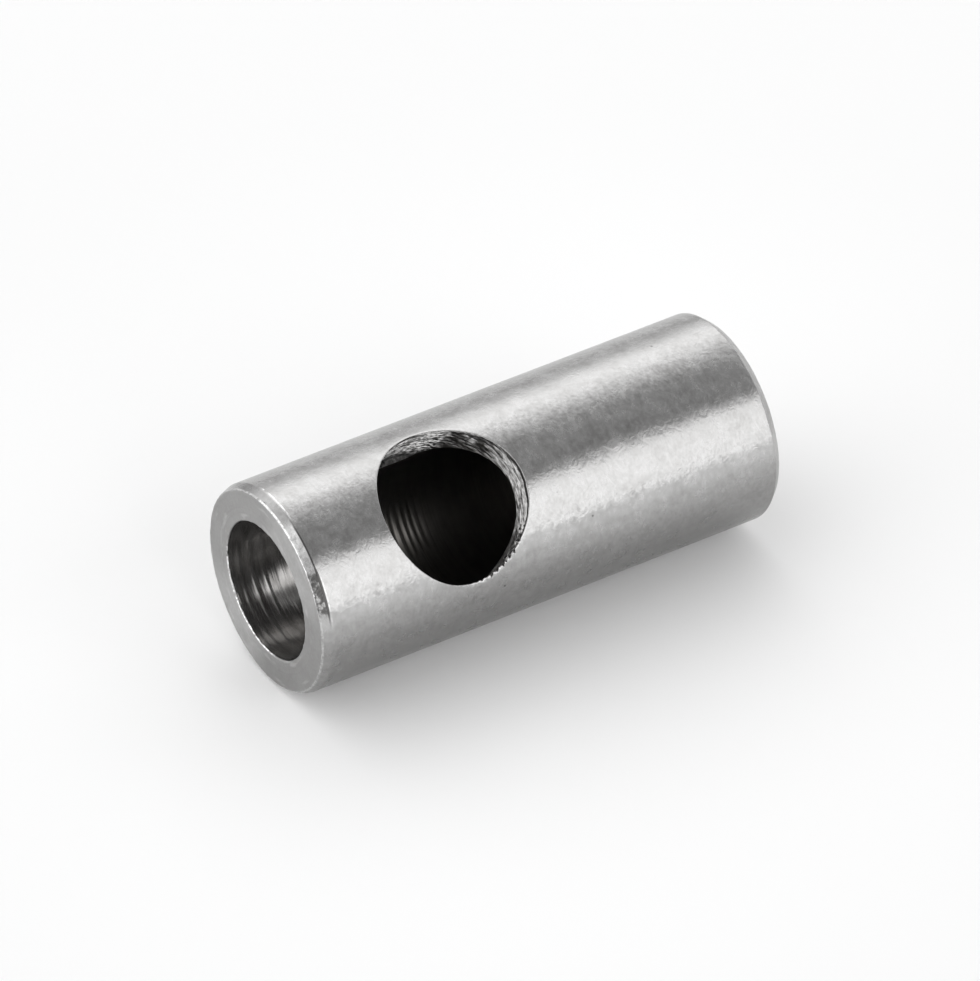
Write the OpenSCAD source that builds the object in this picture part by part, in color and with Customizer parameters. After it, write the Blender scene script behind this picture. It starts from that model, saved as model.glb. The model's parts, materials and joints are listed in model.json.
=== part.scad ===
// Motor shaft adapter: a turned steel sleeve that makes a thin motor shaft
// fill the wider bore of a pinion or pulley. The sleeve stands on its far end,
// with its axis on Z, and its side hole faces -Y. Lengths are in millimetres.

/* [Sleeve] */
// Outside diameter, which fills the bore of the pinion
outer_d = 6; // [5:0.1:9]
// Bore diameter, which slides over the motor shaft
bore_d = 4; // [2:0.1:4.8]
// Length from one end face to the other
sleeve_length = 14.7; // [10:0.1:30]

/* [Lead-ins] */
// Length along the sleeve of the lead-in at the near end
near_lead_length = 0.27; // [0.1:0.01:1]
// Depth of the near lead-in, measured in from the outside
near_lead_depth = 0.1; // [0.02:0.01:0.4]
// Length along the sleeve of the lead-in at the far end
far_lead_length = 0.23; // [0.1:0.01:1]
// Depth of the far lead-in, measured in from the outside
far_lead_depth = 0.2; // [0.02:0.01:0.4]

/* [Side hole] */
// Diameter of the set screw that reaches the shaft through the side hole
screw_d = 4; // [2:0.1:5]
// Room round that screw, on the diameter
screw_clearance = 0.3; // [0.1:0.05:1]
// Distance from the near end to the middle of the side hole
side_hole_from_near_end = 4.85; // [3.2:0.05:7]

/* [Hidden] */
$fn = 96;

// How far a cutter starts outside the metal that it cuts
cutter_overrun = 1;
// Share of the wall that a lead-in may take at most
lead_wall_share = 0.7;

outer_r = outer_d / 2;
bore_r = bore_d / 2;
wall = outer_r - bore_r;
near_depth = min(near_lead_depth, lead_wall_share * wall);
far_depth = min(far_lead_depth, lead_wall_share * wall);
side_hole_d = screw_d + screw_clearance;
side_hole_z = sleeve_length - side_hole_from_near_end;

// Half section of the turned blank, from the axis out, with both lead-ins
module blank_section() {
    polygon([
        [0, 0],
        [outer_r - far_depth, 0],
        [outer_r, far_lead_length],
        [outer_r, sleeve_length - near_lead_length],
        [outer_r - near_depth, sleeve_length],
        [0, sleeve_length]
    ]);
}

// Straight bore from end to end
module shaft_bore() {
    translate([0, 0, -cutter_overrun])
        cylinder(h = sleeve_length + 2 * cutter_overrun, r = bore_r);
}

// Side hole through one wall. It is a little wider than the bore, and its
// cutter stops level with the sleeve's axis, so the opposite wall stays whole
// and a narrow ledge is left on each side of the bore.
module side_hole() {
    translate([0, 0, side_hole_z])
        rotate([90, 0, 0])
            cylinder(h = outer_r + cutter_overrun, d = side_hole_d);
}

module adapter_sleeve() {
    color([0.66, 0.66, 0.66])
        difference() {
            rotate_extrude() blank_section();
            shaft_bore();
            side_hole();
        }
}

adapter_sleeve();
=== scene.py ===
import json
import math

import bpy
import numpy as np
from mathutils import Matrix, Vector


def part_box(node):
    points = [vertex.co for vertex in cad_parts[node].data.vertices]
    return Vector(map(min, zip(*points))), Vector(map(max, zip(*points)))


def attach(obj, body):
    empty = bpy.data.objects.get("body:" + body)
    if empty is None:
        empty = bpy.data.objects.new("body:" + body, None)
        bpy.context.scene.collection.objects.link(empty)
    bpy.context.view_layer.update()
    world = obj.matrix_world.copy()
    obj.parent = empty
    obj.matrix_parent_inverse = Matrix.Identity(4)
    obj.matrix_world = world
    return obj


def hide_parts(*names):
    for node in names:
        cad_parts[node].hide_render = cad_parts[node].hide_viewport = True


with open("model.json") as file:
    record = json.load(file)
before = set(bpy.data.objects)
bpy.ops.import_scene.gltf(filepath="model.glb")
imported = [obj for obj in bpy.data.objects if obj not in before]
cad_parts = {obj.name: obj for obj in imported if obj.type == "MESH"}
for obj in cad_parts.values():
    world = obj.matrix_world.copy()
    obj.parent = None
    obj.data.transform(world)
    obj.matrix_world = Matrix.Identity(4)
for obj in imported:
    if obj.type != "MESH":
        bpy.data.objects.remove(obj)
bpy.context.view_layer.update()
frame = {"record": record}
mounts = {m["name"]: m for m in frame["record"]["mounts"]}
MM = 0.001


# Adapter sleeve, its shape. The real piece is turned from a steel bar: cut to
# length, bored through, given a lead-in at each end, and drilled through one
# wall. The drill left sharp edges, which tumbling has only partly worn away.
low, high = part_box("adapter_sleeve")
length = high.z - low.z
outer_r = high.x
bore_r = mounts["shaft_bore"]["dims"]["r_mm"] * MM
hole_r = mounts["side_hole"]["dims"]["r_mm"] * MM
hole_z = mounts["side_hole"]["pos_m"][2]
near_lead = (0.10 * MM, 0.27 * MM)   # how far in and how far along
far_lead = (0.20 * MM, 0.23 * MM)

far_wear = 0.030 * MM                # how far each worn edge reaches from its corner
crease_wear = 0.022 * MM
lip_wear = 0.040 * MM
mouth_wear = 0.045 * MM
uneven_wear = 0.75                   # how much that reach swells and shrinks on its way round

columns = 240                        # round the sleeve, 1.5 degrees each
outer_block = (94, 106, 3.2 * MM)    # columns, rows and half length round the hole
bore_block = (140, 60, 2.8 * MM)
past_lead_in = 0.45 * MM             # where the even rows of the outside start, from each end
past_mouth = 0.07 * MM               # and those of the bore, from the near and the far mouth
past_far_mouth = 0.10 * MM


def run(start, end, count):
    """Points on a straight line from start to end, both included, in equal steps."""
    t = np.linspace(0, 1, count)[:, None]
    return (1 - t) * np.array(start) + t * np.array(end)


def soft_corner(a, corner, b, count):
    """A worn edge: the parabola from a to b that has the sharp corner as its control
    point, so that it leaves a and reaches b along the lines that meet there."""
    a, corner, b = (np.asarray(p, float) for p in (a, corner, b))
    t = np.linspace(0, 1, count).reshape((-1,) + (1,) * a.ndim)
    return (1 - t) ** 2 * a + 2 * t * (1 - t) * corner + t ** 2 * b


def toward(a, b, reach):
    """The point at that distance from a on the way to b."""
    a, b = np.array(a), np.array(b)
    return a + (b - a) * reach / np.linalg.norm(b - a)


def worn_edge(before, corner, after, reach, count=5):
    """The profile points of one worn edge, which starts and ends at reach from it."""
    return soft_corner(toward(corner, before, reach), corner, toward(corner, after, reach), count)


def tool_grooves(z):
    """Depth of the boring tool's grooves at height z: three sine waves of unlike
    pitch, raised to a power so that they read as narrow cuts, deepest at the mouth."""
    groove_depth = 0.008 * MM
    waves = (0.50 + 0.24 * np.sin(2 * np.pi * z / (0.31 * MM))
             + 0.16 * np.sin(2 * np.pi * z / (0.173 * MM) + 1.3)
             + 0.10 * np.sin(2 * np.pi * z / (0.47 * MM) + 2.1))
    from_mouth = (length - z) / (1.2 * MM)
    return groove_depth * waves ** 3 * (0.35 + np.exp(-from_mouth ** 2))


outer_low, outer_high = hole_z - outer_block[2], hole_z + outer_block[2]
bore_low, bore_high = hole_z - bore_block[2], hole_z + bore_block[2]
far_face = (outer_r - far_lead[0], 0.0)
far_edge = (outer_r, far_lead[1])
near_edge = (outer_r, length - near_lead[1])
near_face = (outer_r - near_lead[0], length)
mouth = (bore_r, length)
far_mouth = (bore_r, 0.0)

# The section, as radius and height, from the far face out, up and back down the
# bore. Each part stands with its sharp corner, or with None where it is straight.
profile = [
    (worn_edge(far_mouth, far_face, far_edge, far_wear), far_face),
    (worn_edge(far_face, far_edge, near_edge, far_wear), far_edge),
    (run((outer_r, past_lead_in), (outer_r, outer_low), 12)[:-1], None),
    (run((outer_r, outer_low), (outer_r, outer_high), outer_block[1] + 1), None),
    (run((outer_r, outer_high), (outer_r, length - past_lead_in), 6)[1:], None),
    (worn_edge(far_edge, near_edge, near_face, crease_wear), near_edge),
    (run(near_edge, near_face, 6)[1:-1], None),
    (worn_edge(near_edge, near_face, mouth, lip_wear, 6), near_face),
    (run(near_face, mouth, 12)[1:-1], None),
    (worn_edge(near_face, mouth, far_mouth, mouth_wear, 6), mouth),
    (run((bore_r, length - past_mouth), (bore_r, bore_high), 56)[:-1], None),
    (run((bore_r, bore_high), (bore_r, bore_low), bore_block[1] + 1), None),
    (run((bore_r, bore_low), (bore_r, past_far_mouth), 26)[1:], None),
    (worn_edge(mouth, far_mouth, far_face, far_wear), far_mouth),
    (run(far_mouth, far_face, 8)[1:-1], None),
]
first_rows = np.cumsum([0] + [len(part) for part, _ in profile])
outer_start, bore_start = first_rows[3], first_rows[11]
for part, _ in profile[10:13]:
    part[:, 0] += tool_grooves(part[:, 1])
section = np.vstack([part for part, _ in profile])


def on_sleeve(radius, azimuth, z):
    """A point at that radius and height. Azimuth 0 is -Y, where the hole is, and it
    grows towards +X."""
    radius, azimuth, z = np.broadcast_arrays(radius, azimuth, z)
    return np.stack([radius * np.sin(azimuth), -radius * np.cos(azimuth), z], -1)


def block_loop(first_row, rows, block_columns, flip):
    """Vertex numbers round a block of the grid, from the middle of its side at
    +X, then past its top, its other side and its bottom. flip is for a grid whose
    rows run downwards."""
    right = columns // 2 + block_columns // 2
    left = columns // 2 - block_columns // 2
    half = rows // 2
    up = first_row + np.arange(rows + 1)
    if flip:
        up = up[::-1]
    side = np.arange(block_columns)
    row = np.concatenate([up[half:-1], np.full(block_columns, up[-1]), up[:0:-1],
                          np.full(block_columns, up[0]), up[:half]])
    column = np.concatenate([np.full(rows - half, right), right - side, np.full(rows, left),
                             left + side, np.full(half, right)])
    return row * columns + column


def ripple(angle, seed, *counts):
    """A wavy amount round the sleeve or its hole, -1 to 1: sines of the given counts
    of waves, with seeded phases, added and divided by their number."""
    phases = np.random.default_rng(seed).uniform(0, 2 * np.pi, len(counts))
    return sum(np.sin(n * angle + p) for n, p in zip(counts, phases)) / len(counts)


turn = -math.pi + 2 * math.pi * np.arange(columns) / columns
radius = np.repeat(section[:, :1], columns, 1)
height = np.repeat(section[:, 1:], columns, 1)
for seed, (start, (part, corner)) in enumerate(zip(first_rows, profile)):
    if corner is not None:           # an edge's wear is wider and narrower in turn
        rows = slice(start, start + len(part))
        wider = 1 + uneven_wear * ripple(turn, seed, 5, 13, 31, 53)
        radius[rows] = corner[0] + (radius[rows] - corner[0]) * wider
        height[rows] = corner[1] + (height[rows] - corner[1]) * wider
grid = on_sleeve(radius, turn[None], height).reshape(-1, 3)

row, column = np.meshgrid(np.arange(len(section)), np.arange(columns), indexing="ij")
next_row, next_column = (row + 1) % len(section), (column + 1) % columns
quads = np.stack([row * columns + column, row * columns + next_column,
                  next_row * columns + next_column, next_row * columns + column], -1)
keep = np.ones(row.shape, bool)
for start, (block_columns, rows, _) in ((outer_start, outer_block), (bore_start, bore_block)):
    left = columns // 2 - block_columns // 2
    keep[start:start + rows, left:left + block_columns] = False
outer_loop = block_loop(outer_start, outer_block[1], outer_block[0], False)
bore_loop = block_loop(bore_start, bore_block[1], bore_block[0], True)

# The hole: rings of points at equal angles, joined to the two loops above
loop = grid[outer_loop]
loop_azimuth = np.arctan2(loop[:, 0], -loop[:, 1])
around = np.arctan2(loop[:, 2] - hole_z, outer_r * loop_azimuth)
across, along = np.cos(around), np.sin(around)


def bump_at(angle, middle, width):
    """1 at the middle angle, falling to 0 within width on each side, as a cosine."""
    off = np.abs((angle - middle + np.pi) % (2 * np.pi) - np.pi) / width
    return 0.5 + 0.5 * np.cos(np.pi * np.minimum(off, 1))


# The rim is a feather edge at the sleeve's sides, where the drill ran nearly along
# the surface, so it is worn back most there, and one stretch has ragged teeth
deepest_tooth = 0.14 * MM
feather = across ** 2
teeth = bump_at(around, math.radians(-158), math.radians(30))
rubbed_side = bump_at(around, math.radians(-60), math.radians(130))
wear = MM * (0.014 + 0.020 * rubbed_side + 0.055 * feather + 0.006 * ripple(around, 3, 23, 41, 67))
tooth_cut = deepest_tooth * teeth * np.maximum(ripple(around, 5, 61, 83, 97, 131) + 0.10, 0)
rim_r = hole_r + tooth_cut


def outer_ring(r):
    """The ring on the outside at that distance from the hole's axis."""
    return on_sleeve(outer_r, np.arcsin(r * across / outer_r), hole_z + r * along)


rim = outer_ring(rim_r)
wall_top = rim + np.stack([0 * wear, wear, 0 * wear], -1)
surface_edge = outer_ring(rim_r + wear)
rim_rings = soft_corner(surface_edge, rim, wall_top, 8)

# Down the wall, to the bore or, beside it, to the narrow ledge level with the axis.
# The drill wandered, so the wall narrows inwards, and it tore the metal in bands.
edge_break = 0.02 * MM
narrowing = 0.035 * MM
tear_depth, scratch_depth = 0.016 * MM, 0.008 * MM
wall_x = hole_r * across
wall_foot_y = -np.sqrt(np.maximum(bore_r ** 2 - wall_x ** 2, 0)) - edge_break
wall_rings = []
for i, t in enumerate(np.linspace(0, 1, 20)[1:]):
    y = (1 - t) * wall_top[:, 1] + t * wall_foot_y
    torn = tear_depth * ripple(around, 20 + i // 3, 3, 7, 11)
    torn += scratch_depth * ripple(around, 40 + i, 19, 37, 59)
    inside_ends = min(5 * t, 1.0) * min(6 * (1 - t), 1.0)
    r = rim_r + (hole_r - rim_r) * t - narrowing * (t - 0.5) * inside_ends + torn * inside_ends
    wall_rings.append(np.stack([r * across, y, hole_z + r * along], -1))
lip_r = hole_r + edge_break
lip_azimuth = np.arcsin(np.clip(lip_r * across / bore_r, -1, 1))
lip_z = hole_z + lip_r * along

# Over the bore's surface, from its lip out to the bore's loop
loop = grid[bore_loop]
bore_azimuth = np.arctan2(loop[:, 0], -loop[:, 1])
bore_rings = []
for t in np.linspace(0, 1, 13)[:-1]:
    azimuth = (1 - t) * lip_azimuth + t * bore_azimuth
    z = (1 - t) * lip_z + t * loop[:, 2]
    bore_rings.append(on_sleeve(bore_r + t * tool_grooves(z), azimuth, z))

# Over the outside, from the outer loop in to the worn rim, closer together there
closing_in = 0.7
rim_azimuth = np.arctan2(surface_edge[:, 0], -surface_edge[:, 1])
outer_rings = []
for t in np.linspace(0, 1, 25)[1:-1] ** closing_in:
    azimuth = (1 - t) * loop_azimuth + t * rim_azimuth
    z = (1 - t) * grid[outer_loop][:, 2] + t * surface_edge[:, 2]
    outer_rings.append(on_sleeve(outer_r, azimuth, z))

rings = outer_rings + list(rim_rings) + wall_rings + bore_rings
ring_ids = [len(grid) + i * len(around) + np.arange(len(around)) for i in range(len(rings))]
ring_ids = [outer_loop] + ring_ids + [bore_loop]
strips = [np.stack([a, np.roll(a, -1), np.roll(b, -1), b], -1)
          for a, b in zip(ring_ids[:-1], ring_ids[1:])]


def surface(name, points, quads):
    """A mesh object from an array of points and one of four-cornered faces. Points
    that no face uses are dropped."""
    used, quads = np.unique(quads, return_inverse=True)
    points, quads = points[used], quads.reshape(-1, 4)
    mesh = bpy.data.meshes.new(name)
    mesh.vertices.add(len(points))
    mesh.vertices.foreach_set("co", points.ravel())
    mesh.loops.add(quads.size)
    mesh.loops.foreach_set("vertex_index", quads.ravel())
    mesh.polygons.add(len(quads))
    mesh.polygons.foreach_set("loop_start", np.arange(0, quads.size, 4))
    mesh.polygons.foreach_set("use_smooth", np.ones(len(quads), bool))
    mesh.update()
    mesh.validate()
    piece = bpy.data.objects.new(name, mesh)
    bpy.context.scene.collection.objects.link(piece)
    return piece


sleeve = surface("turned_sleeve", np.vstack([grid] + rings), np.vstack([quads[keep]] + strips))


class Value:
    """One shader socket. The usual operators add Math nodes behind it, and plain
    numbers may stand on either side."""

    def __init__(self, nodes, socket):
        self.nodes, self.socket = nodes, socket

    def math(self, operation, *others):
        """What a Math node of that operation makes of this value and the others."""
        return self.nodes.add("Math", {"operation": operation}, [self, *others])

    def __add__(self, other):
        return self.math("ADD", other)

    def __sub__(self, other):
        return self.math("SUBTRACT", other)

    def __rsub__(self, other):
        return self.nodes.add("Math", {"operation": "SUBTRACT"}, [other, self])

    def __mul__(self, other):
        return self.math("MULTIPLY", other)

    def __truediv__(self, other):
        return self.math("DIVIDE", other)

    def __pow__(self, other):
        return self.math("POWER", other)

    def __neg__(self):
        return self * -1

    __radd__, __rmul__ = __add__, __mul__

    def clamp(self):
        """This value, kept between 0 and 1."""
        return self.nodes.add("Clamp", {}, [self])

    def ramp(self, low, high):
        """0 up to low and 1 from high on, eased in and out between them."""
        settings = {"interpolation_type": "SMOOTHSTEP"}
        return self.nodes.add("MapRange", settings, {"Value": self, "From Min": low, "From Max": high})

    def between(self, low, high, soft):
        """1 from low to high, and 0 from soft outside them."""
        return self.ramp(low - soft, low) * (1 - self.ramp(high, high + soft))

    def line_at(self, middle, near, far):
        """1 up to near on both sides of the middle, and 0 from far away on."""
        return 1 - (self - middle).math("ABSOLUTE").ramp(near, far)


class Nodes:
    """The nodes of one material or world. add makes any node: its settings are set
    first, and then its sockets get values or links, by order or by name."""

    def __init__(self, owner):
        owner.use_nodes = True
        self.tree = owner.node_tree
        self.tree.nodes.clear()

    def add(self, kind, settings=(), inputs=(), output=0):
        """The chosen output of a new node of that kind."""
        node = self.tree.nodes.new("ShaderNode" + kind)
        for name, value in dict(settings).items():
            setattr(node, name, value)
        items = inputs.items() if isinstance(inputs, dict) else enumerate(inputs)
        for key, value in items:
            if isinstance(value, Value):
                self.tree.links.new(value.socket, node.inputs[key])
            else:
                node.inputs[key].default_value = value
        return Value(self, node.outputs[output])

    def vector(self, operation, *vectors):
        """What a Vector Math node of that operation makes of the vectors."""
        return self.add("VectorMath", {"operation": operation}, vectors)

    def scaled(self, vector, factor):
        """The vector times a number."""
        return self.add("VectorMath", {"operation": "SCALE"}, {"Vector": vector, "Scale": factor})

    def place(self):
        """The point's own place on the piece, in millimetres."""
        return self.scaled(self.add("TexCoord", output="Object"), 1 / MM)

    def tipped(self, by):
        """The surface's own normal tipped by a vector: their sum, made one unit long."""
        normal = self.add("NewGeometry", output="Normal")
        return self.vector("NORMALIZE", self.vector("ADD", normal, by))

    def parts(self, vector):
        """The vector's X, Y and Z, each as a number."""
        return [self.add("SeparateXYZ", {}, [vector], axis) for axis in (0, 1, 2)]

    def plain_noise(self, place, detail, roughness=0.5, swirl=0.0):
        """Noise from 0 to 1 with blots of about one unit. Swirl bends it."""
        return self.add("TexNoise", {"noise_dimensions": "3D"}, {
            "Vector": place, "Scale": 1.0, "Detail": detail,
            "Roughness": roughness, "Distortion": swirl})

    def noise(self, place, sizes, detail=2.0, roughness=0.5, swirl=0.0):
        """Noise from -1 to 1, about half of that in use, whose blots have these sizes
        in millimetres along X, Y and Z."""
        stretched = self.vector("MULTIPLY", place, tuple(1 / s for s in sizes))
        return self.plain_noise(stretched, detail, roughness, swirl) * 2 - 1

    def mix(self, factor, a, b):
        """The colour a where the factor is 0, b where it is 1, and their blend between."""
        return self.add("Mix", {"data_type": "RGBA"}, {0: factor, 6: a, 7: b}, 2)

    def finish(self, shader, kind="Material"):
        """Make that shader the surface of the material or of the world."""
        end = self.tree.nodes.new("ShaderNodeOutput" + kind)
        self.tree.links.new(shader.socket, end.inputs["Surface"])


def degrees_round(x, y):
    """The azimuth on the sleeve: 0 at -Y, where the hole is, and growing towards +X."""
    return x.math("ARCTAN2", -y) * (180 / math.pi)


def facing(x, y, degrees):
    """How far the point (x, y) lies in that direction, which counts from x towards y:
    the cosine of the angle between them, times the point's distance."""
    a = math.radians(degrees)
    return x * math.cos(a) + y * math.sin(a)


def grey(level, warmth=0.0):
    """A grey of that level, a little redder and less blue as warmth grows."""
    return (level * (1 + warmth), level, level * (1 - warmth), 1.0)


def steel(nodes, colour, roughness, normal, metallic=1.0):
    """The metal itself: its colour, roughness and normal may vary over the surface."""
    return nodes.add("BsdfPrincipled", {}, {
        "Base Color": colour, "Metallic": metallic, "Roughness": roughness,
        "Specular Tint": grey(0.90), "Normal": normal})


def lip_wear_and_highlight(azimuth):
    """How much the outer lip is painted bright, wear with a painted highlight: 1 round the
    side that shows, 0.35 elsewhere.
    """
    return azimuth.between(-26, 42, 8) * 0.65 + 0.35


# Adapter sleeve, the outside. It was turned and then tumbled, which leaves a satin
# surface: fine hairs of turning round the sleeve, broken into small mottled patches,
# and a few pits.
outside_steel = bpy.data.materials.new("tumbled_outside")
n = Nodes(outside_steel)
place = n.place()
x, y, z = n.parts(place)
azimuth = degrees_round(x, y)
hairs = n.noise(place, (0.30, 0.30, 0.05))
patches = n.noise(place, (0.20, 0.20, 0.16), 3.0, 0.6)
clouds = n.noise(place, (0.50, 0.50, 0.50))
foil = n.noise(place, (0.26, 0.26, 0.20), 3.0, 0.6, 1.6)
crumple = n.noise(place, (0.26, 0.26, 0.22), 2.0, 0.5, 1.5)
specks = n.noise(place, (0.13, 0.13, 0.13))

# The unevenness tips the surface sideways, which frays the edges of its reflections
round_sleeve = n.scaled(n.vector("CROSS_PRODUCT", (0.0, 0.0, 1.0), place), MM / outer_r)
sideways = hairs * 0.015 + patches * 0.05 + foil * 0.045
tilted = n.tipped(n.scaled(round_sleeve, sideways))
bumped = n.add("Bump", {}, {"Strength": 0.8, "Distance": 0.004 * MM, "Height": crumple, "Normal": tilted})
roughness = 0.25 + patches * 0.06 + clouds * 0.08

# Its colour: its own mottled tone, painted shade darkening it low down, and a painted
# highlight making one narrow stretch paler
mottle = (foil * 0.5 + patches * 0.6 + clouds * 0.65 + 0.5).clamp()
satin = n.mix(mottle, grey(0.35, 0.012), grey(0.50, 0.004))
# Painted shade: the lower side is darkened, in clouds
lower_side_shade = azimuth.between(-92, -60, 24) * (0.85 + clouds * 0.7)
satin = n.mix((lower_side_shade * 0.42).clamp(), satin, grey(0.10, 0.03))
# Painted highlight: one narrow stretch along the sleeve is made paler
satin = n.mix(azimuth.between(-36, -32, 7) * 0.14, satin, grey(0.90))

# The near lead-in: painted shade darkens one side, and the other is rubbed bright, wear
# with a painted highlight
past_crease = z - (length - near_lead[1]) / MM
on_lead = past_crease.ramp(-0.01, 0.02)
lead_wear_and_highlight = azimuth.between(-9, 16, 6) * (0.55 + specks * 0.8).clamp()
satin = n.mix(on_lead * azimuth.between(26, 72, 8) * 0.35, satin, grey(0.10))
satin = n.mix(on_lead * lead_wear_and_highlight, satin, grey(0.82))

# A dark line runs along its crease, and on one stretch it widens into a dark speckled patch
wide_stretch = azimuth.between(-30, -11, 5)
crease_dark_line = past_crease.line_at(0.012, 0.012 + wide_stretch * 0.016, 0.030 + wide_stretch * 0.020)
crease_dark_patch = past_crease.ramp(0.0, 0.04) * wide_stretch * (specks * 2.2 + 0.85).clamp()
crease_darkening = (crease_dark_line * azimuth.between(-30, 12, 12)).math("MAXIMUM", crease_dark_patch * 0.95)

# Edges are painted bright, partly worn metal and partly painted highlight, on the
# stretches that catch the light: along the crease, on the lip of the end face, and on
# the burrs at the ragged stretch of the hole's rim
worn_highlight_line = past_crease.line_at(-0.050, 0.010, 0.032)
worn_highlight_line = worn_highlight_line * (azimuth.between(-36, -14, 5) * 0.4 + azimuth.between(25, 50, 5))
lip_highlight_line = z.ramp(length / MM - 0.06, length / MM - 0.03) * lip_wear_and_highlight(azimuth)
level = z - hole_z / MM
from_centre = (x * x + level * level) ** 0.5
torn_side = (facing(x, level, -168) / from_centre).ramp(0.94, 0.985)
burr_glints = (1 - (from_centre - hole_r / MM).ramp(0.06, 0.13)) * torn_side * (-y).ramp(0.5, 1.0)
wear_and_highlight = (worn_highlight_line + lip_highlight_line + burr_glints * 0.7) * (specks * 2.0 + 0.65).clamp()

# Pits: a dark dot at the middle of some of the cells that a Voronoi pattern makes
pit_spacing = 0.75
pit_cell = {"voronoi_dimensions": "3D"}
pit_place = {"Vector": n.scaled(place, 1 / pit_spacing), "Scale": 1.0}
pit_distance = n.add("TexVoronoi", pit_cell, pit_place, "Distance")
pit_pick = n.parts(n.add("TexVoronoi", pit_cell, pit_place, "Color"))[0]
pits = (1 - pit_distance.ramp(0.03, 0.07)) * pit_pick.ramp(0.55, 0.65)
# The worn edges go on in pale, with their painted highlights
with_highlights = n.mix(wear_and_highlight.clamp(), satin, grey(0.88))
colour = n.mix((crease_darkening * 0.9 + pits * 0.7).clamp(), with_highlights, grey(0.05, 0.03))
n.finish(steel(n, colour, roughness, bumped))

# Adapter sleeve, the end faces. They were faced on the lathe, which left very fine
# rings, and handling left smudges and scuffs. Both lips are painted bright on one side,
# wear with a painted highlight, and the face carries a painted sheen.
face_steel = bpy.data.materials.new("faced_end")
n = Nodes(face_steel)
place = n.place()
x, y, z = n.parts(place)
from_axis = (x * x + y * y) ** 0.5
azimuth = degrees_round(x, y)
turning_rings = n.plain_noise(n.add("CombineXYZ", {}, [from_axis * 16, 0.0, z]), 2.0)
scuffs = n.plain_noise(n.add("CombineXYZ", {}, [from_axis * 5, azimuth * 0.045, z]), 3.0)
smudges = n.noise(place, (0.5, 0.5, 0.5), 3.0)
grain = n.noise(place, (0.10, 0.10, 0.10))
relief = turning_rings + grain * 0.25
bumped = n.add("Bump", {}, {"Strength": 0.5, "Distance": 0.003 * MM, "Height": relief})
plain = n.mix((smudges * 1.1 + grain * 0.5 + turning_rings).clamp(), grey(0.37, 0.010), grey(0.48, 0.004))
# Painted sheen: darker across the turned rings, brightest towards 0 and 180 degrees round
painted_sheen = ((y / from_axis) ** 2).ramp(0.50, 1.0)
plain = n.mix(((1 - painted_sheen) * 0.34 + smudges * 0.12).clamp(), plain, grey(0.10, 0.03))
plain = n.mix(scuffs.ramp(0.58, 0.70) * 0.22, plain, grey(0.80))
# Painted highlights, with some wear, on one side of each lip
mouth_side = (facing(y, x, 5) / from_axis).ramp(0.45, 0.80)
mouth_lip = (1 - from_axis.ramp(bore_r / MM + 0.025, bore_r / MM + 0.045)) * mouth_side
outer_lip = from_axis.ramp(outer_r / MM - 0.14, outer_r / MM - 0.12) * lip_wear_and_highlight(azimuth)
wear_and_highlight = (mouth_lip + outer_lip) * (grain * 2.4 + 0.7).clamp()
colour = n.mix(wear_and_highlight.clamp(), plain, grey(0.90))
n.finish(steel(n, colour, 0.30 + smudges * 0.04 - wear_and_highlight * 0.10, bumped))

# Adapter sleeve, the bore. The boring tool left grooves, and it chattered where the side
# hole shows the wall across from it. Its colour turns darker from the mouth inwards.
chatter_pitch = 0.21
bore_steel = bpy.data.materials.new("oily_bore")
n = Nodes(bore_steel)
place = n.place()
x, y, z = n.parts(place)
cuts = n.noise(place, (2.2, 2.2, 0.06))
wide_cuts = n.noise(place, (2.5, 2.5, 0.22), 1.0)
stains = n.noise(place, (0.6, 0.6, 0.22), 3.0)
into_bore = (length / MM - z).ramp(0.8, 4.5)
across_from_hole = (facing(-y, x, 166) * (MM / bore_r)).ramp(0.90, 1.0)
chatter = (z * (2 * math.pi / chatter_pitch) + wide_cuts * 2).math("SINE")
chatter = chatter * z.between(hole_z / MM - 0.75, hole_z / MM - 0.10, 0.7) * across_from_hole
relief = cuts * 0.8 + wide_cuts * 1.5 + chatter * 1.8
bumped = n.add("Bump", {}, {"Strength": 1.0, "Distance": 0.002 * MM, "Height": relief})
# The colour grows darker from the mouth inwards
bore_tone = n.mix(into_bore, grey(0.38, 0.02), grey(0.15, 0.06))
colour = n.mix((stains - cuts * 0.4 + 0.25).clamp(), bore_tone, grey(0.12, 0.05))
n.finish(steel(n, colour, 0.17 + cuts * 0.04 + into_bore * 0.13, bumped, 0.88 + into_bore * 0.10))

# Adapter sleeve, the wall of the side hole. The drill smeared it: torn streaks that
# run round the hole, bright where rubbed and dark where torn.
wall_steel = bpy.data.materials.new("drilled_wall")
n = Nodes(wall_steel)
place = n.place()
x, y, z = n.parts(place)
level = z - hole_z / MM
from_centre = (x * x + level * level) ** 0.5
depth = y + ((outer_r / MM) ** 2 - x * x) ** 0.5
streaks = n.noise(place, (0.45, 0.09, 0.45), 3.0, 0.65)
tears = n.noise(place, (0.20, 0.09, 0.20))
crumbs = n.noise(place, (0.10, 0.10, 0.10), 2.0, 0.6)
waver = n.noise(place, (0.6, 0.6, 0.6))


def smeared(degrees):
    """1 round the hole near that angle from +X, and 0 beyond about 40 degrees from it."""
    return (facing(x, level, degrees) / from_centre).ramp(0.76, 0.95)


# One side has a bright blot, a painted highlight, another is rubbed, and a third is
# ragged near its rim, where the crumbs get painted glints
blot_highlight = smeared(3)
rubbed_and_lit = blot_highlight + smeared(-95) * 0.7
ragged = smeared(-155) * (1 - depth.ramp(0.30, 0.90))

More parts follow.
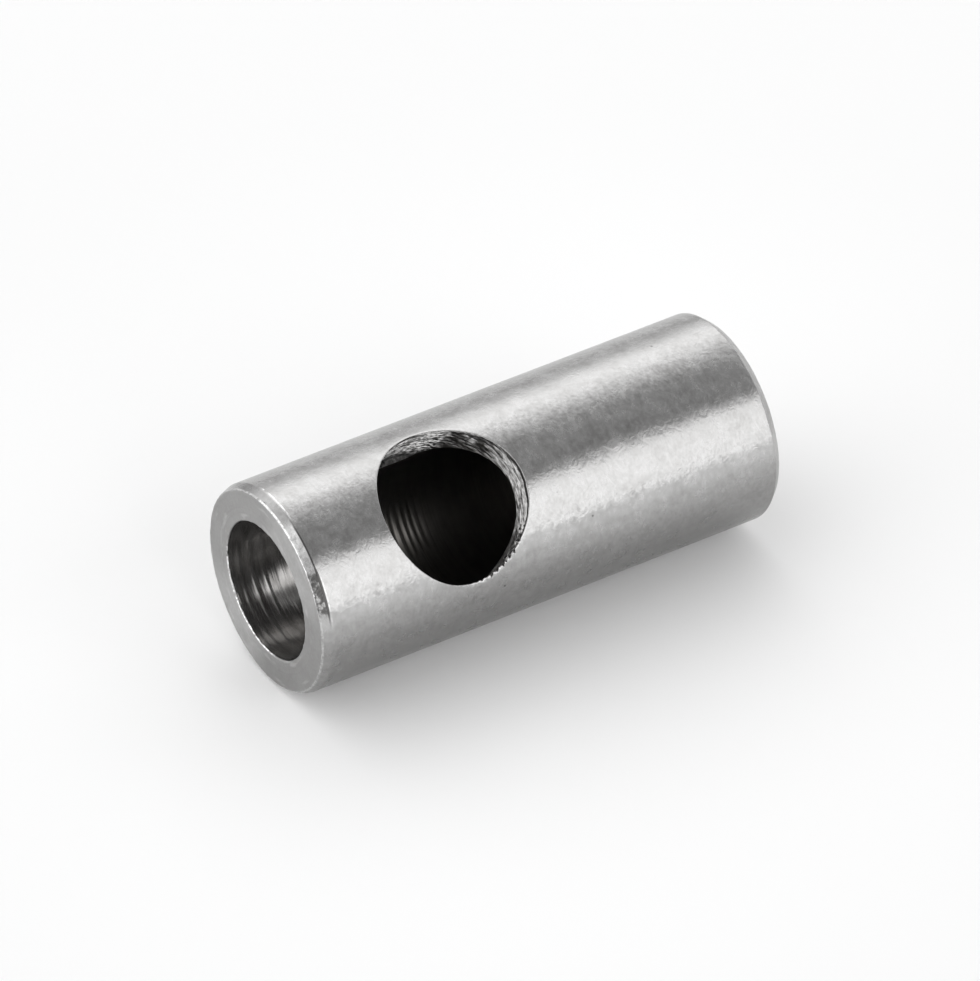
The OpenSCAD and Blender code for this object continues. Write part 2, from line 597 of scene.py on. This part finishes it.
# The torn metal leans outwards by different amounts, and so catches more or less light
lean = 0.25 + rubbed_and_lit * 0.50 + streaks * 1.3 + tears * 0.8
lean = lean + ragged * crumbs * 2.5 + blot_highlight * (crumbs * 1.5 + 0.30)
leaning = n.tipped(n.add("CombineXYZ", {}, [0.0, -lean, 0.0]))
bumped = n.add("Bump", {}, {"Strength": 1.0, "Distance": 0.010 * MM, "Height": tears, "Normal": leaning})
# The colour: bright rubbed streaks, the blot's painted highlight, and painted glints on crumbs
bright = streaks * (1.8 - rubbed_and_lit) + tears * 0.8 + rubbed_and_lit * 0.38 + 0.32
bright = bright + (ragged * 2.9 + blot_highlight * 1.4) * crumbs
torn = n.mix(bright.clamp(), grey(0.11, 0.02), grey(0.60, 0.01))

# Painted shade: a dark line in the gouge just under the rim, between the crumbs, down at
# the foot and on the ledge
gouge_shadow = (depth + waver * 0.12).line_at(0.10, 0.05, 0.10)
gouge_shadow = gouge_shadow * (0.25 + smeared(-103) + smeared(24) * 0.9 + streaks * 0.7)
gap_shade = ragged * (-crumbs).ramp(0.02, 0.20) * 0.8
foot_shade = y.ramp(-0.75, -0.25) * (0.85 + streaks * 0.7)
ledge = y.ramp(-0.30, -0.06) * (0.95 + crumbs * 0.9)
dark = foot_shade.math("MAXIMUM", gouge_shadow.math("MAXIMUM", gap_shade)).math("MAXIMUM", ledge)
# The painted shade is laid over the torn metal
colour = n.mix(dark.clamp(), torn, grey(0.03, 0.03))
n.finish(steel(n, colour, 0.34 + tears * 0.12, bumped))

for finish in (outside_steel, face_steel, bore_steel, wall_steel):
    sleeve.data.materials.append(finish)


def face_kinds(mesh):
    """Which finish each face has, by the place of its middle: the bore's inside its
    radius, the faces' on an end, the wall's inside the hole, the outside's elsewhere.
    Each takes in the worn edges that border it, up to a skin's depth."""
    bore_skin, end_skin, wall_skin = 0.03 * MM, 0.045 * MM, 0.055 * MM
    within_outside, within_lip, beyond_bore = 0.012 * MM, 0.11 * MM, 0.004 * MM
    centres = np.empty(len(mesh.polygons) * 3)
    mesh.polygons.foreach_get("center", centres)
    px, py, pz = centres.reshape(-1, 3).T
    from_axis = np.hypot(px, py)
    from_hole = np.hypot(px, pz - hole_z)
    in_bore = from_axis < bore_r + bore_skin
    on_end = (np.abs(pz - length / 2) > length / 2 - end_skin) & (from_axis < outer_r - within_lip)
    in_wall = (from_hole < hole_r + wall_skin) & (py < 0)
    in_wall &= (from_axis < outer_r - within_outside) & (from_axis > bore_r + beyond_bore)
    return np.select([in_wall, on_end, in_bore], [3, 1, 2], 0)


sleeve.data.polygons.foreach_set("material_index", face_kinds(sleeve.data).astype(np.int32))
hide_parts("adapter_sleeve")
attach(sleeve, "root")


# Floor. A sheet of white paper that the sleeve lies on. It shows from above only, so
# that a view from behind it still shows the sleeve. It glows faintly right under the
# sleeve, where little light reaches, a painted light, and it is painted slightly greyer
# away from it, a painted shade where the light falls off.
overhead_degrees = 38.8              # azimuth of the way up from the paper
overhead = math.radians(overhead_degrees)
floor_half = 1000 * MM
floor_up = Vector((math.sin(overhead), -math.cos(overhead), 0))
floor_side = Vector((math.cos(overhead), math.sin(overhead), 0))
paper_gap = 0.003 * MM               # so that the two surfaces don't flicker where they touch
floor_middle = Vector((0, 0, length / 2)) - floor_up * (outer_r + paper_gap)
corners = [floor_middle + floor_side * (a * floor_half) + Vector((0, 0, b * floor_half))
           for a, b in ((-1, -1), (1, -1), (1, 1), (-1, 1))]
paper = surface("paper_floor", np.array(corners), np.array([[0, 1, 2, 3]]))
paper_white = bpy.data.materials.new("paper_white")
n = Nodes(paper_white)
x, y, z = n.parts(n.place())
from_touch = facing(x, y, overhead_degrees).math("ABSOLUTE")
under_sleeve = (1 - from_touch.ramp(0.30, 1.15)) * z.between(0.4, length / MM - 0.4, 0.4)
from_sleeve = (from_touch * from_touch + (z - length / MM / 2) ** 2) ** 0.5
# Painted shade: greyer away from the sleeve, as the light falls off
painted_falloff = n.mix(from_sleeve.ramp(9, 24), grey(0.95), grey(0.91))
white = n.add("BsdfPrincipled", {}, {
    "Base Color": painted_falloff, "Roughness": 1.0, "Specular IOR Level": 0.0,
    "Emission Color": under_sleeve * 0.24, "Emission Strength": 1.0})
clear = n.add("BsdfTransparent", {}, {})
n.finish(n.add("MixShader", {}, [n.add("NewGeometry", output="Backfacing"), white, clear]))
paper_white.cycles.emission_sampling = "NONE"   # the glow is faint, so no light is aimed at it
paper.data.materials.append(paper_white)


# Light tent. A half drum of cloth over the paper, closed at the near end and lit from
# outside by two long soft boxes along the sleeve. The cloth between them is dimmer,
# both ends have their own levels, and a patch straight beyond the mouth is bright.
tent_r = 600 * MM
tent_half = 700 * MM
tent_turn = overhead + np.radians(np.linspace(-92, 92, 93))
tent_z = np.append(np.linspace(-tent_half, tent_half, 15), tent_half)
tent_radius = np.append(np.full(15, tent_r), 1 * MM)     # the last ring closes the near end
tent_points = on_sleeve(tent_radius[:, None], tent_turn[None], tent_z[:, None]).reshape(-1, 3)
row, column = np.meshgrid(np.arange(len(tent_z) - 1), np.arange(len(tent_turn) - 1), indexing="ij")
corner = row * len(tent_turn) + column
tent_quads = np.stack([corner, corner + len(tent_turn), corner + len(tent_turn) + 1, corner + 1], -1)
tent = surface("light_tent", tent_points, tent_quads.reshape(-1, 4))
cloth = bpy.data.materials.new("lit_cloth")
n = Nodes(cloth)
x, y, z = n.parts(n.place())
azimuth = degrees_round(x, y)
backward = azimuth.ramp(-15, 60)
front_box = azimuth.ramp(-76, -45) * (1 - azimuth.ramp(-8, 0))
back_box = azimuth.ramp(38, 90) * (1 - azimuth.ramp(85, 117) * 0.8)
seam = azimuth.line_at(9, 3, 8)
along_sleeve = 0.40 + front_box * 1.55 + back_box * 1.70 - seam * 0.12
near_box = 0.45 + backward * 0.95
far_box = 0.75 + backward * 0.20
past_near_end = (z + azimuth.ramp(-35, 5) * 100).ramp(150, 250)
past_far_end = 1 - z.ramp(-500, -400)
beyond_mouth = z.ramp(400, 690) * (1 - ((x * x + y * y) ** 0.5).ramp(260, 420))
beside = along_sleeve * (1 - past_near_end) + near_box * past_near_end
strength = (beside * (1 - past_far_end) + far_box * past_far_end) * (1 - beyond_mouth) + beyond_mouth * 2.2
n.finish(n.add("Emission", {}, {"Color": strength, "Strength": 1.0}))
cloth.cycles.emission_sampling = "NONE"   # it fills most of the sky, so rays find it unaided
tent.data.materials.append(cloth)
tent.visible_camera = False


# Room. Plain white all round. It lights the paper past the ends of the tent, and a
# camera sees it past the paper's edges and, from below, through the paper.
room = bpy.data.worlds.new("white_room")
bpy.context.scene.world = room
n = Nodes(room)
n.finish(n.add("Background", {}, {"Color": grey(1.0), "Strength": 1.0}), "World")


# Camera. A long lens, above the paper and beyond the near end, so that the sleeve
# lies aslant in the picture with its near mouth at the lower left.
camera_azimuth, camera_elevation, camera_roll = (math.radians(a) for a in (-8.801, 25.011, -111.13))
camera_distance = 334.58 * MM
aim = Vector((0.341, -0.053, 7.41)) * MM
back = Vector((math.sin(camera_azimuth) * math.cos(camera_elevation),
               -math.cos(camera_azimuth) * math.cos(camera_elevation), math.sin(camera_elevation)))
lens = bpy.data.cameras.new("long_lens")
lens.lens = 452.15
lens.sensor_width = 36
camera = bpy.data.objects.new("camera", lens)
bpy.context.scene.collection.objects.link(camera)
upright = back.to_track_quat("Z", "Y").to_matrix().to_4x4()
camera.matrix_world = (Matrix.Translation(aim + back * camera_distance) @ upright
                       @ Matrix.Rotation(camera_roll, 4, "Z"))
bpy.context.scene.camera = camera
bpy.context.scene.view_settings.view_transform = "Standard"
